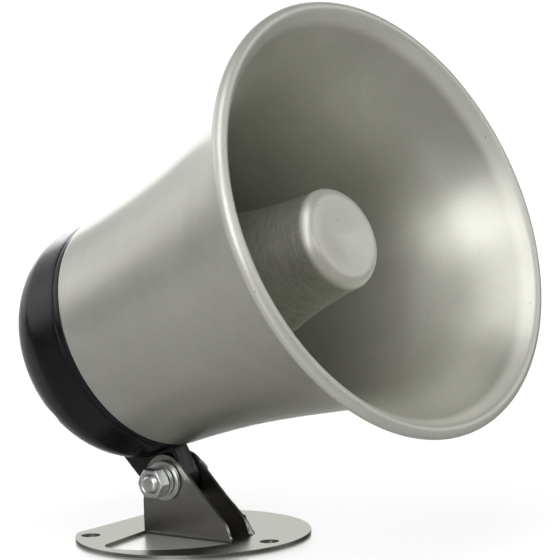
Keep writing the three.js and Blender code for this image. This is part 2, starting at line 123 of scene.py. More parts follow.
def rounded(points, closed=False, n=5):
    """Points (a, r, corner radius) to a profile with arcs at the corners."""
    out, m = [], len(points)
    for i, p in enumerate(points):
        rad = p[2] if len(p) > 2 else 0
        if rad <= 0 or (not closed and i in (0, m - 1)):
            out.append((p[0], p[1]))
            continue
        A, P, B = (np.array(points[(i + k) % m][:2], float) for k in (-1, 0, 1))
        u, v = A - P, B - P
        lu, lv = np.linalg.norm(u), np.linalg.norm(v)
        u, v = u / lu, v / lv
        ang = math.acos(max(-1, min(1, float(u @ v))))
        if ang > math.pi - 0.02:
            out.append((p[0], p[1]))
            continue
        d = min(rad / math.tan(ang / 2), lu * 0.49, lv * 0.49)
        rr = d * math.tan(ang / 2)
        c = P + (u + v) / np.linalg.norm(u + v) * (rr / math.sin(ang / 2))
        s, e = P + u * d - c, P + v * d - c
        t0, t1 = math.atan2(s[1], s[0]), math.atan2(e[1], e[0])
        dt = (t1 - t0 + math.pi) % (2 * math.pi) - math.pi
        for k in range(n + 1):
            t = t0 + dt * k / n
            out.append((float(c[0] + rr * math.cos(t)), float(c[1] + rr * math.sin(t))))
    return out


def spline(xs, ys, end_slope, start_slope, q):
    """Clamped cubic spline through the stations, read at q."""
    xs, ys, n = np.array(xs, float), np.array(ys, float), len(xs)
    A, b, h = np.zeros((n, n)), np.zeros(n), np.diff(xs)
    A[0, 0] = A[-1, -1] = 1
    b[0], b[-1] = start_slope, end_slope
    for i in range(1, n - 1):
        A[i, i - 1], A[i, i], A[i, i + 1] = 1 / h[i - 1], 2 * (1 / h[i - 1] + 1 / h[i]), 1 / h[i]
        b[i] = 3 * ((ys[i] - ys[i - 1]) / h[i - 1] ** 2 + (ys[i + 1] - ys[i]) / h[i] ** 2)
    m = np.linalg.solve(A, b)
    k = np.clip(np.searchsorted(xs, q) - 1, 0, n - 2)
    t = (q - xs[k]) / h[k]
    return ((2 * t**3 - 3 * t**2 + 1) * ys[k] + (t**3 - 2 * t**2 + t) * h[k] * m[k]
            + (-2 * t**3 + 3 * t**2) * ys[k + 1] + (t**3 - t**2) * h[k] * m[k + 1])


def offset(profile, d):
    p = np.array(profile, float)
    t = np.gradient(p, axis=0)
    t /= np.linalg.norm(t, axis=1)[:, None]
    return [(float(a + d * tt[1]), float(r - d * tt[0])) for (a, r), tt in zip(p, t)]


def outline(name, loops, thick, bevel=0.0, res=2):
    """Flat plate from closed loops (outer first, then holes), thickness along Z from 0 to thick, edges rounded."""
    cu = bpy.data.curves.new(name, "CURVE")
    cu.dimensions, cu.fill_mode = "2D", "BOTH"
    cu.extrude = thick / 2 - bevel
    cu.bevel_depth, cu.bevel_resolution, cu.offset = bevel, res, -bevel
    for loop in loops:
        sp = cu.splines.new("POLY")
        sp.points.add(len(loop) - 1)
        for p, (x, y) in zip(sp.points, loop):
            p.co = (x, y, 0, 1)
        sp.use_cyclic_u = True
    tmp = bpy.data.objects.new(name, cu)
    SC.collection.objects.link(tmp)
    bpy.context.view_layer.update()
    dg = bpy.context.evaluated_depsgraph_get()
    me = bpy.data.meshes.new_from_object(tmp.evaluated_get(dg))
    bpy.data.objects.remove(tmp)
    me.transform(Matrix.Translation((0, 0, thick / 2)))
    bm = bmesh.new()
    bm.from_mesh(me)
    bmesh.ops.remove_doubles(bm, verts=bm.verts, dist=1e-4)
    bmesh.ops.recalc_face_normals(bm, faces=bm.faces)
    bm.to_mesh(me)
    bm.free()
    me.name = name
    me.materials.clear()
    return new_object(name, me)


def arc(cx, cy, r, t0, t1, n):
    return [(cx + r * math.cos(t0 + (t1 - t0) * i / n), cy + r * math.sin(t0 + (t1 - t0) * i / n)) for i in range(n + 1)]


def ring2d(cx, cy, r, n=48):
    return arc(cx, cy, r, 0, 2 * math.pi, n)[:-1]


def move(o, matrix):
    o.data.transform(matrix)
    return o


def flat(o):
    """Applies every modifier."""
    bpy.context.view_layer.update()
    dg = bpy.context.evaluated_depsgraph_get()
    me = bpy.data.meshes.new_from_object(o.evaluated_get(dg))
    old = o.data
    o.modifiers.clear()
    o.data = me
    bpy.data.meshes.remove(old)
    return o


def cut(o, tools, op="DIFFERENCE"):
    for t in tools if isinstance(tools, (list, tuple)) else [tools]:
        m = o.modifiers.new("cut", "BOOLEAN")
        m.operation, m.solver, m.object = op, "EXACT", t
        flat(o)
        bpy.data.objects.remove(t)
    return o


def join(*obs):
    return cut(obs[0], list(obs[1:]), "UNION")


def soften(o, width, seg=3, angle=35, smooth=40):
    bm = bmesh.new()
    bm.from_mesh(o.data)
    bmesh.ops.dissolve_degenerate(bm, dist=width * 0.02, edges=bm.edges)
    bm.to_mesh(o.data)
    bm.free()
    m = o.modifiers.new("edge", "BEVEL")
    m.width, m.segments, m.limit_method, m.angle_limit = width, seg, "ANGLE", math.radians(angle)
    m.use_clamp_overlap, m.miter_outer = True, "MITER_ARC"
    flat(o)
    return shade(o, smooth)


def shade(o, angle=40):
    for p in o.data.polygons:
        p.use_smooth = True
    o.data.set_sharp_from_angle(angle=math.radians(angle))
    return o


def tidy(o, dist=0.004):
    """Merges the slivers a boolean leaves and makes each flat one face."""
    bm = bmesh.new()
    bm.from_mesh(o.data)
    bmesh.ops.remove_doubles(bm, verts=bm.verts, dist=dist)
    bmesh.ops.dissolve_degenerate(bm, dist=dist, edges=bm.edges)
    bmesh.ops.dissolve_limit(bm, angle_limit=math.radians(0.4), verts=bm.verts, edges=bm.edges)
    bm.to_mesh(o.data)
    bm.free()
    return o


def even(o):
    """Keeps broad flat faces flat and lets only the rounded edges turn the light."""
    m = o.modifiers.new("even", "WEIGHTED_NORMAL")
    m.mode, m.weight, m.keep_sharp = "FACE_AREA", 100, True
    return flat(o)


def rod(name, a0, a1, r, seg=40, y=0.0, z=0.0):
    return move(lathe(name, [(a0, 0), (a0, r), (a1, r), (a1, 0)], seg), Matrix.Translation((0, y, z)))


def polar(r, deg):
    return r * math.cos(math.radians(deg)), r * math.sin(math.radians(deg))


# ---------------------------------------------------------------- materials
def nodes_of(name):
    m = bpy.data.materials.new(name)
    m.use_nodes = True
    nt = m.node_tree
    nt.nodes.clear()
    out = nt.nodes.new("ShaderNodeOutputMaterial")
    b = nt.nodes.new("ShaderNodeBsdfPrincipled")
    nt.links.new(b.outputs[0], out.inputs[0])
    return m, nt, b


class N:
    """Short hand for building a node tree."""

    def __init__(self, nt):
        self.nt = nt

    def add(self, kind, **props):
        n = self.nt.nodes.new(kind)
        for k, v in props.items():
            setattr(n, k, v)
        return n

    def link(self, a, b):
        self.nt.links.new(a, b)

    def math(self, op, a, b=None, c=None, clamp=False):
        n = self.add("ShaderNodeMath", operation=op, use_clamp=clamp)
        for i, v in enumerate((a, b, c)):
            if v is None:
                continue
            if isinstance(v, (int, float)):
                n.inputs[i].default_value = v
            else:
                self.link(v, n.inputs[i])
        return n.outputs[0]

    def coords(self, matrix=None):
        """Rest coordinates in millimetres; with matrix, in that frame."""
        tc = self.add("ShaderNodeTexCoord")
        mp = self.add("ShaderNodeMapping", vector_type="TEXTURE")
        loc, rot, _ = (matrix or MM).decompose()
        mp.inputs["Location"].default_value = loc
        mp.inputs["Rotation"].default_value = rot.to_euler()
        mp.inputs["Scale"].default_value = (0.001,) * 3
        self.link(tc.outputs["Object"], mp.inputs["Vector"])
        return mp.outputs[0]

    def noise(self, vec, scale, detail=4, rough=0.55, distort=0.0):
        n = self.add("ShaderNodeTexNoise")
        n.inputs["Scale"].default_value = scale
        n.inputs["Detail"].default_value = detail
        n.inputs["Roughness"].default_value = rough
        n.inputs["Distortion"].default_value = distort
        self.link(vec, n.inputs["Vector"])
        return n.outputs["Fac"]

    def ramp(self, fac, stops):
        n = self.add("ShaderNodeValToRGB")
        el = n.color_ramp.elements
        while len(el) < len(stops):
            el.new(0.5)
        for e, (p, c) in zip(el, stops):
            e.position = p
            e.color = (*c, 1) if len(c) == 3 else c
        self.link(fac, n.inputs[0])
        return n.outputs[0]

    def range(self, v, a0, a1, b0, b1):
        n = self.add("ShaderNodeMapRange")
        for i, x in zip((1, 2, 3, 4), (a0, a1, b0, b1)):
            n.inputs[i].default_value = x
        self.link(v, n.inputs[0])
        return n.outputs[0]

    def mix(self, fac, a, b, kind="RGBA", blend="MIX"):
        n = self.add("ShaderNodeMix", data_type=kind)
        if kind == "RGBA":
            n.blend_type = blend
        ia, ib = (6, 7) if kind == "RGBA" else (2, 3)
        for i, v in ((0, fac), (ia, a), (ib, b)):
            if isinstance(v, (int, float)):
                n.inputs[i].default_value = v
            elif isinstance(v, tuple):
                n.inputs[i].default_value = (*v, 1) if len(v) == 3 else v
            else:
                self.link(v, n.inputs[i])
        return n.outputs[2 if kind == "RGBA" else 0]

    def bump(self, height, strength, distance, normal=None):
        n = self.add("ShaderNodeBump")
        n.inputs["Strength"].default_value = strength
        n.inputs["Distance"].default_value = distance
        self.link(height, n.inputs["Height"])
        if normal is not None:
            self.link(normal, n.inputs["Normal"])
        return n.outputs[0]

    def split(self, vec):
        n = self.add("ShaderNodeSeparateXYZ")
        self.link(vec, n.inputs[0])
        return n.outputs

    def join(self, x, y, z):
        n = self.add("ShaderNodeCombineXYZ")
        for i, v in enumerate((x, y, z)):
            if isinstance(v, (int, float)):
                n.inputs[i].default_value = v
            else:
                self.link(v, n.inputs[i])
        return n.outputs[0]

    def spun(self, vec, along=1.0, round_=0.02):
        """Coordinates that smear noise round the X axis, as turning or spinning leaves it."""
        x, y, z = self.split(vec)
        rad = self.math("SQRT", self.math("ADD", self.math("MULTIPLY", y, y), self.math("MULTIPLY", z, z)))
        return self.join(self.math("MULTIPLY", x, along), self.math("MULTIPLY", rad, along),
                         self.math("MULTIPLY", self.math("ARCTAN2", z, y), round_ * 40))


def paint_metal(name, base, dark, rough=(0.36, 0.46), metallic=0.85, lines=0.4, mottle=0.0, coat=0.15, along=1.6, rim_wear_and_highlight_from=92.0):
    """Silver-grey metallic paint over spun sheet: flake, orange peel, rings from spinning, and a rubbed, chipped edge
    whose colour is lifted as a painted highlight.
    """
    m, nt, b = nodes_of(name)
    g = N(nt)
    v = g.coords(AXIS)
    x, y, z = g.split(v)
    rad = g.math("MAXIMUM", g.math("SQRT", g.math("ADD", g.math("MULTIPLY", y, y), g.math("MULTIPLY", z, z))), 0.01)
    cy, cz = g.math("DIVIDE", y, rad), g.math("DIVIDE", z, rad)
    flake = g.noise(v, 3.2, 3, 0.7)
    cloud = g.noise(v, 0.05, 5, 0.6, 0.6)
    blot = g.noise(v, 0.32, 5, 0.7, 1.5)
    pos = g.math("MULTIPLY", g.math("ADD", x, g.math("MULTIPLY", rad, 1.3)), along)
    rings = g.noise(g.join(pos, g.math("MULTIPLY", cy, 2.2), g.math("MULTIPLY", cz, 2.2)), 1.0, 4, 0.7)
    tone = g.math("ADD", g.math("MULTIPLY", g.math("SUBTRACT", flake, 0.5), 1.5), g.math("MULTIPLY", g.math("SUBTRACT", cloud, 0.5), 0.8))
    tone = g.math("ADD", tone, g.math("MULTIPLY", g.math("SUBTRACT", rings, 0.5), 1.5 * lines))
    if mottle:
        tone = g.math("ADD", tone, g.math("MULTIPLY", g.math("SUBTRACT", blot, 0.5), mottle))
    tone = g.math("ADD", tone, 0.6, clamp=True)
    paint = g.mix(tone, dark, base)
    specks = g.range(g.noise(v, 1.3, 2, 0.5), 0.73, 0.76, 0.0, 1.0)
    # Over the last 2 mm towards the end the base colour is lifted by about a fifth and made less metallic. This is a
    # painted highlight on the rolled bead and on the cup's end edge. The dark specks there are chipped paint, and the
    # slightly lower roughness is real rubbing.
    edge = g.range(x, rim_wear_and_highlight_from, rim_wear_and_highlight_from + 2.0, 0.0, 0.8)
    paint = g.mix(edge, paint, tuple(min(1.0, c * 1.22) for c in base))
    g.link(g.mix(g.math("MULTIPLY", specks, edge), paint, (0.12, 0.11, 0.09)), b.inputs["Base Color"])
    g.link(g.math("SUBTRACT", metallic, g.math("MULTIPLY", edge, 0.55)), b.inputs["Metallic"])
    rr = g.math("ADD", g.math("MULTIPLY", cloud, 0.5), g.math("MULTIPLY", rings, 0.5))
    worn = g.math("MULTIPLY", edge, 0.04)
    g.link(g.math("SUBTRACT", g.range(rr, 0.3, 0.7, rough[0], rough[1]), worn), b.inputs["Roughness"])
    b.inputs["Anisotropic"].default_value = 0.55
    b.inputs["Anisotropic Rotation"].default_value = 0.25
    t = g.join(g.math("MULTIPLY", cy, -ST), g.math("MULTIPLY", cz, -1.0), g.math("MULTIPLY", cy, CT))
    tr = g.add("ShaderNodeVectorTransform", vector_type="VECTOR", convert_from="OBJECT", convert_to="WORLD")
    g.link(t, tr.inputs[0])
    g.link(tr.outputs[0], b.inputs["Tangent"])
    b.inputs["Coat Weight"].default_value = coat
    b.inputs["Coat Roughness"].default_value = 0.13
    peel = g.noise(v, 0.9, 2, 0.5)
    n1 = g.bump(rings, 0.35 * lines, 0.00010)
    n2 = g.bump(peel, 0.10, 0.00010, n1)
    n3 = g.bump(flake, 0.25, 0.00004, n2)
    g.link(n3, b.inputs["Normal"])
    g.link(g.bump(peel, 0.10, 0.00010), b.inputs["Coat Normal"])
    return m


def gloss_plastic(name, base=(0.004, 0.004, 0.0046), rough=(0.24, 0.33)):
    """Glossy black moulding with fine scratches, dust haze and slight ripple."""
    m, nt, b = nodes_of(name)
    g = N(nt)
    v = g.coords(AXIS)
    haze = g.noise(v, 0.12, 5, 0.6, 0.4)
    fine = g.noise(v, 2.6, 4, 0.7)
    g.link(g.mix(g.range(g.math("MULTIPLY", haze, fine), 0.2, 0.42, 0.0, 0.4), base, (0.012, 0.012, 0.013)), b.inputs["Base Color"])
    g.link(g.range(g.math("ADD", g.math("MULTIPLY", haze, 0.7), g.math("MULTIPLY", fine, 0.3)), 0.35, 0.65, rough[0], rough[1]), b.inputs["Roughness"])
    b.inputs["IOR"].default_value = 1.45
    n1 = g.bump(g.noise(v, 0.10, 2, 0.5), 0.12, 0.0006)
    g.link(g.bump(fine, 0.05, 0.00002, n1), b.inputs["Normal"])
    return m


def dull_plastic(name, base, rough=0.6, frame=AXIS):
    m, nt, b = nodes_of(name)
    g = N(nt)
    v = g.coords(frame)
    n = g.noise(v, 3.0, 5, 0.65)
    c = g.noise(v, 0.2, 4, 0.6)
    hi = tuple(min(1, x * 1.5 + 0.01) for x in base)
    g.link(g.mix(g.range(c, 0.35, 0.65, 0.0, 1.0), base, hi), b.inputs["Base Color"])
    g.link(g.range(n, 0.3, 0.7, rough - 0.08, rough + 0.08), b.inputs["Roughness"])
    g.link(g.bump(n, 0.25, 0.00004), b.inputs["Normal"])
    return m


def bare_metal(name, light, dark, rough=(0.18, 0.34), frame=None, turned=False, grain=(0.0, 0.0, 0.0), stain=0.3, bump=1.0, edge=(1.0, 1.0, 1.0)):
    """Plated or bare metal with tarnish, handling marks, and turning rings or rolling grain."""
    m, nt, b = nodes_of(name)
    g = N(nt)
    v = g.coords(frame)
    cloud = g.noise(v, 0.16, 5, 0.62, 0.8)
    fine = g.noise(v, 3.2, 4, 0.6)
    if turned:
        line = g.noise(g.spun(v, 6.0, 0.05), 1.0, 3, 0.6)
    else:
        x, y, z = g.split(v)
        line = g.noise(g.join(g.math("MULTIPLY", x, grain[0]), g.math("MULTIPLY", y, grain[1]), g.math("MULTIPLY", z, grain[2])), 1.0, 4, 0.65)
    tone = g.math("ADD", g.math("MULTIPLY", cloud, stain), g.math("ADD", g.math("MULTIPLY", line, (1 - stain) * 0.7), g.math("MULTIPLY", fine, (1 - stain) * 0.3)))
    g.link(g.mix(g.range(tone, 0.3, 0.7, 0.0, 1.0), dark, light), b.inputs["Base Color"])
    b.inputs["Metallic"].default_value = 1.0
    b.inputs["Specular Tint"].default_value = (*edge, 1)
    g.link(g.range(g.math("ADD", g.math("MULTIPLY", line, 0.6), g.math("MULTIPLY", cloud, 0.4)), 0.3, 0.7, rough[0], rough[1]), b.inputs["Roughness"])
    g.link(g.bump(fine, 0.12 * bump, 0.00002, g.bump(line, 0.18 * bump, 0.00003)), b.inputs["Normal"])
    return m


# Both paints lift the colour of their end edge as a painted highlight. The bell's band starts at 92 mm and the cup's at
# 76.5 mm.
MAT = {
    "bell_paint": paint_metal("bell_paint", (0.78, 0.78, 0.715), (0.58, 0.58, 0.525), rough=(0.45, 0.53), metallic=0.94, lines=0.35, coat=0.3),
    "reflector_paint": paint_metal("reflector_paint", (0.74, 0.74, 0.67), (0.44, 0.44, 0.39), rough=(0.44, 0.54), metallic=0.92, lines=0.9, mottle=1.1,
                                   coat=0.35, along=1.2, rim_wear_and_highlight_from=76.5),
    "gloss_black_plastic": gloss_plastic("gloss_black_plastic"),
    "matte_black_plastic": dull_plastic("matte_black_plastic", (0.02, 0.02, 0.022), 0.55),
    "black_rubber": dull_plastic("black_rubber", (0.016, 0.016, 0.017), 0.78),
    "bracket_steel": bare_metal("bracket_steel", (0.40, 0.39, 0.365), (0.35, 0.34, 0.32), rough=(0.27, 0.32), grain=(0.6, 7.0, 7.0), stain=0.4, bump=0.2, edge=(0.40, 0.42, 0.40)),
    "zinc_hardware": bare_metal("zinc_hardware", (0.90, 0.92, 0.90), (0.74, 0.76, 0.74), rough=(0.32, 0.45), grain=(2.0, 2.0, 2.0), stain=0.55, bump=0.4),
    "bare_iron": bare_metal("bare_iron", (0.46, 0.45, 0.43), (0.30, 0.29, 0.27), rough=(0.3, 0.48), frame=AXIS, turned=True),
    "post_aluminium": bare_metal("post_aluminium", (0.66, 0.66, 0.65), (0.50, 0.50, 0.49), rough=(0.25, 0.4), frame=AXIS, turned=True),
    "ferrite": dull_plastic("ferrite", (0.045, 0.043, 0.043), 0.62),
    "diaphragm_film": dull_plastic("diaphragm_film", (0.42, 0.22, 0.06), 0.35),
    "coil_copper": bare_metal("coil_copper", (0.62, 0.26, 0.10), (0.42, 0.15, 0.05), rough=(0.22, 0.4), frame=AXIS, turned=True),
    "terminal_brass": bare_metal("terminal_brass", (0.72, 0.56, 0.26), (0.50, 0.38, 0.16), rough=(0.22, 0.42), grain=(3.0, 3.0, 3.0)),
    "phenolic_board": dull_plastic("phenolic_board", (0.16, 0.065, 0.022), 0.5),
}
slot_of = {s["node"]: s["material_slot"] for s in frame["record"]["subparts"]}
for name, ob in frame["nodes"].items():
    ob.data.materials.clear()
    ob.data.materials.append(MAT[slot_of[name]])


def place(o, node, body, matrix, extra=()):
    """Finishes a detailed piece: into the part's frame, material, body, and the CAD node it stands for."""
    move(o, matrix)
    o.name = node + "_detail"
    o.data.name = o.name
    o.data.materials.clear()
    o.data.materials.append(MAT[slot_of[node]])
    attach(o, body)
    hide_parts(node)
    return o


# ================================================================ outer bell: spun sheet with a rolled rim
BEAD_A, BEAD_R, RHO, T = 94.37, 62.62, 2.2, 0.9
beta = math.radians(40)
n0 = (math.sin(beta), -math.cos(beta))
end = (BEAD_A + (RHO - T) * n0[0], BEAD_R + (RHO - T) * n0[1])
st = [(1.3, 35.5), (14, 36.75), (28, 38.7), (42, 41.3), (55, 44.15), (66, 46.75), (74.5, 49.4), (82, 52.6), (87.5, 55.9), (91, 58.3), end]
qa = np.concatenate([np.linspace(1.3, 66, 34), np.linspace(67.5, end[0], 26)])
outer = [(float(a), float(r)) for a, r in zip(qa, spline([p[0] for p in st], [p[1] for p in st], math.tan(beta), 0.08, qa))]
inner = offset(outer, T)
psi0, psi1 = math.atan2(n0[1], n0[0]), math.radians(246)
roll_out = [(BEAD_A + RHO * math.cos(p), BEAD_R + RHO * math.sin(p)) for p in np.linspace(psi0, psi1, 34)]
roll_in = [(BEAD_A + (RHO - T) * math.cos(p), BEAD_R + (RHO - T) * math.sin(p)) for p in np.linspace(psi1, psi0, 28)]
corner_out = [(0.15, 9.9)] + [(1.15 - 1.0 * math.cos(t), 34.45 + 1.0 * math.sin(t)) for t in np.linspace(0, math.pi / 2 - 0.08, 7)]
corner_in = [(1.95 - 0.9 * math.cos(t), 33.75 + 0.82 * math.sin(t)) for t in np.linspace(math.pi / 2, 0, 7)] + [(1.05, 9.9)]
profile = corner_out + outer + roll_in[::-1][1:] + roll_out[::-1] + inner[::-1][1:-1] + corner_in
bell = lathe("bell", profile, 192, closed=True)
cut(bell, [rod("h", -1, 3, 1.7, 28, *polar(27.8, az)) for az in PILLARS])
shade(bell, 50)
place(bell, "outer_bell", "horn", AXIS)

# ================================================================ reflector cup
cup_st = [(17, 27.0), (27, 24.2), (37, 21.3), (47, 18.8), (57, 16.85), (67, 15.6), (77.3, 15.0)]
qa = np.linspace(17, 77.3, 44)
cup = [(float(a), float(r)) for a, r in zip(qa, spline([p[0] for p in cup_st], [p[1] for p in cup_st], 0.0, -0.29, qa))]
cup = cup[:-2]
cup += [(76.9 + 3.4 * math.sin(t), 11.6 + 3.4 * math.cos(t)) for t in np.linspace(0.06, math.pi / 2, 16)]
cup += [(80.3 - 0.9 * (1 - (r / 11.6) ** 2) ** 2, r) for r in np.linspace(11.3, 0.0, 22)]
cup_in = offset(cup, 0.8)
cup_in[0] = (17, 27.0 - 0.83)
cup_in[-1] = (79.4 - 0.8, 0.0)
lip = [(16.9, 26.9), (16.75, 26.6), (16.9, 26.3)]
reflector = lathe("cup", cup[::-1] + lip + cup_in, SEG)
shade(reflector, 50)
place(reflector, "reflector_cup", "horn", AXIS)

# ================================================================ throat moulding
tube = rounded([(-2.2, 7.6, 0.3), (-2.2, COVER_R, 0.3), (-0.15, COVER_R, 0.3), (-0.15, 9.45, 0.2), (52.5, 10.7, 0.5), (52.5, 9.2, 0.5)], closed=True)
throat = lathe("throat", tube, SEG, closed=True)
parts = [lathe("t", [(-5.3, 13), (-5.3, 17.4), (-2.0, 17.4), (-2.0, 13)], 96, True), lathe("t", [(-4.2, 29.7), (-4.2, 30.7), (-2.0, 30.7), (-2.0, 29.7)], 96, True)]
parts += [rod("p", -13.7, -1.5, 2.9, 32, *polar(27.8, az)) for az in PILLARS]
parts += [rod("p", -8.7, -1.5, 2.5, 32, *polar(22.2, az)) for az in (30, 150, 270)]
parts += [rod("p", 49.4, 52.8, 3.9, 48)]
for i in range(3):
    me = bpy.data.meshes.new("arm")
    bm = bmesh.new()
    bmesh.ops.create_cube(bm, size=1)
    bmesh.ops.scale(bm, vec=(3.0, 1.8, 8.0), verts=bm.verts)
    bmesh.ops.translate(bm, vec=(50.95, 0, 5.9), verts=bm.verts)
    bmesh.ops.rotate(bm, cent=(0, 0, 0), matrix=Matrix.Rotation(i * 2 * math.pi / 3, 3, "X"), verts=bm.verts)
    bm.to_mesh(me)
    bm.free()
    parts.append(new_object("arm", me))
join(throat, *parts)
holes = [rod("h", 48, 54, 1.9, 32)] + [rod("h", -7.6, 1, 1.6, 24, *polar(27.8, az)) for az in PILLARS]
holes += [rod("h", -15, -8.8, 1.6, 24, *polar(27.8, az)) for az in PILLARS] + [rod("h", -10, -3.0, 1.55, 24, *polar(22.2, az)) for az in (30, 150, 270)]
cut(throat, holes)
shade(throat, 40)
place(throat, "throat_tube", "horn", AXIS)

# ================================================================ rear cover with its lug
def dome(f):
    return (-COVER_CYL - DOME_D * f, COVER_R * max(1 - f**1.55, 0) ** (1 / 2.79))


fs = np.concatenate([np.linspace(0, 0.9, 40), 1 - np.geomspace(0.09, 0.0004, 22)])
shell = [(-2.35, COVER_R - 0.35)] + [(-2.35 - 0.3 * (1 - math.cos(t)), COVER_R - 0.3 + 0.3 * math.sin(t)) for t in np.linspace(0.2, math.pi / 2, 5)]
shell += [(a, COVER_R) for a in (-4.5, -7, -9.5)] + [dome(f) for f in fs] + [(-COVER_CYL - DOME_D, 0)]
full = lathe("full", [(-2.35, 0)] + shell, SEG)
hollow_pts = offset(shell[6:], -2.4)
hollow_pts = [(a, min(r, COVER_R - 2.4)) for a, r in hollow_pts]
hollow_pts[-1] = (-COVER_CYL - DOME_D + 2.4, 0)
hollow = lathe("hollow", [(-1.5, 0), (-1.5, COVER_R - 2.4)] + hollow_pts, SEG)
lug_pts = [(-3.6, -31), (-25.0, -25), (-22.1, -31.1), (-19.2, -38.2), (-14.6, -45.0)] + arc(-8.7, -42.9, 6.2, math.radians(205), math.radians(370), 30)
lug = outline("lug", [lug_pts], 7.0, 0.55, 3)
move(lug, Matrix.Translation((0, 3.5, 0)) @ Matrix.Rotation(math.pi / 2, 4, "X"))
skin_mesh = full.data.copy()
cover = join(full, lug)
bosses = []
for az in PILLARS:
    skin = full.copy()
    skin.data = skin_mesh.copy()
    SC.collection.objects.link(skin)
    bosses.append(cut(rod("b", -27.5, -14.1, 4.5, 40, *polar(27.8, az)), skin, "INTERSECT"))
cut(cover, [hollow])
join(cover, *bosses)
cut(cover, [lathe("r", rounded([(-40, 0), (-40, 3.3), (-16.7, 3.3, 0.4), (-16.7, 0)]), 48) for _ in ()] +
    [rod("r", -40, -16.7, 3.3, 48, *polar(27.8, az)) for az in PILLARS] + [rod("r", -18, -13, 1.7, 24, *polar(27.8, az)) for az in PILLARS])
bore = rod("r", -6, 6, 2.8, 48)
move(bore, Matrix.Translation((-8.7, 0, -42.9)) @ Matrix.Rotation(math.pi / 2, 4, "Z"))
HR = 14.0
depth = lambda r: DOME_D * (1 - (r / COVER_R) ** 2.79) ** (1 / 1.55)
slope = math.atan2(depth(HR - 2) - depth(HR + 2), 4)
GROM = Matrix.Translation((-COVER_CYL - depth(HR), 0, -HR)) @ Matrix.Rotation(-slope, 4, "Y")
gh = rod("r", -4, 6, 3.6, 48)
move(gh, GROM)
cut(cover, [bore, gh])
soften(cover, 0.25, 3, 38, 50)
place(cover, "rear_cover", "horn", AXIS)

grommet = lathe("grommet", rounded([(-1.9, 2.0, 0.3), (-1.9, 3.7, 0.4), (-1.45, 5.0, 0.4), (-0.72, 5.35, 0.3), (-0.72, 3.3, 0.1), (3.1, 3.3, 0.1), (3.1, 4.9, 0.3),
                        (4.0, 4.6, 0.4), (4.3, 3.2, 0.4), (4.3, 2.0, 0.3)], closed=True, n=4), 64, closed=True)
move(grommet, GROM)
shade(grommet, 50)
place(grommet, "cable_grommet", "horn", AXIS)


# ================================================================ screws
def pan_screw(name, base, reach, head_r, head_h, shank_r, towards=1):
    """Pan-head screw with a cross recess. The head stands from base, away from the shank."""
    s = -towards
    prof = [(base + s * head_h, 0), (base + s * head_h * 0.985, head_r * 0.35), (base + s * head_h * 0.86, head_r * 0.68), (base + s * head_h * 0.6, head_r * 0.90),
            (base + s * head_h * 0.3, head_r * 0.99), (base + s * 0.12, head_r), (base, head_r * 0.97), (base, shank_r + 0.05)]
    n = 26
    for i in range(n):
        a = base + towards * (reach - 0.9) * (i + 1) / n
        prof.append((a, shank_r if i % 2 else shank_r * 0.86))
    prof += [(base + towards * reach, shank_r * 0.4), (base + towards * reach, 0)]
    o = lathe(name, prof, 40)
    tools = []
    for k in range(2):
        bm = bmesh.new()
        bmesh.ops.create_cube(bm, size=1)
        for v in bm.verts:
            narrow = 0.45 if (v.co.x * s) < 0 else 1.0
            v.co = Vector((v.co.x * head_h * 1.3, v.co.y * head_r * 1.05 * narrow, v.co.z * head_r * 0.27 * (0.8 if narrow < 1 else 1)))
        bmesh.ops.translate(bm, vec=(base + s * head_h * 0.98, 0, 0), verts=bm.verts)
        bmesh.ops.rotate(bm, cent=(0, 0, 0), matrix=Matrix.Rotation(0.6 + k * math.pi / 2, 3, "X"), verts=bm.verts)
        me = bpy.data.meshes.new("x")
        bm.to_mesh(me)
        bm.free()
        tools.append(new_object("x", me))
    cut(o, tools)
    return shade(o, 35)


for i, az in enumerate(PILLARS):
    y, z = polar(27.8, az)
    s = pan_screw("s", 1.25, 8.3, 2.8, 1.95, 1.2, towards=-1)
    place(move(s, Matrix.Translation((0, y, z))), f"bell_screw_{i + 1}", "horn", AXIS)
    s = pan_screw("s", -17.0, 7.8, 2.8, 2.0, 1.2, towards=1)
    place(move(s, Matrix.Translation((0, y, z))), f"cover_screw_{i + 1}", "horn", AXIS)

# ================================================================ bracket: one sheet, ears folded up out of the plate
R, CH = 34.0, -29.8
ang = math.acos(CH / R)
plate_out = arc(0, 0, R, -ang, ang, 150)
near_win = [(-14.4, 3.4), (-14.1, 5.2), (-11.3, 24.6), (-10.6, 27.0), (-8.9, 28.8), (-5.9, 29.6), (-1.9, 29.5), (2.3, 28.2), (6.2, 26.0), (9.7, 23.3),
            (13.2, 19.8), (16.2, 16.0), (18.0, 12.8), (19.3, 9.6), (19.6, 7.0), (19.2, 5.0), (18.4, 3.4)]
far_win = [(-14.4, 3.4), (-14.1, 5.2), (-13.8, 14.0), (-13.3, 20.5), (-12.2, 24.3), (-9.9, 27.1), (-6.5, 28.4), (-3.0, 27.6), (0.4, 24.0), (3.8, 20.7),
           (11.3, 13.0), (15.8, 8.6), (17.6, 6.4), (18.3, 5.0), (18.4, 3.4)]


def smooth_loop(pts, keep, n=6):
    """Catmull-Rom through pts[keep:-keep], straight elsewhere."""
    out = list(pts[:keep])
    core = pts[keep:len(pts) - keep]
    P = [np.array(p, float) for p in core]
    for i in range(len(P) - 1):
        p0, p1, p2, p3 = P[max(i - 1, 0)], P[i], P[i + 1], P[min(i + 2, len(P) - 1)]
        for k in range(n):
            t = k / n
            q = 0.5 * ((2 * p1) + (-p0 + p2) * t + (2 * p0 - 5 * p1 + 4 * p2 - p3) * t * t + (-p0 + 3 * p1 - 3 * p2 + p3) * t**3)
            out.append((float(q[0]), float(q[1])))
    out.append(tuple(map(float, core[-1])))
    return out + list(pts[len(pts) - keep:])


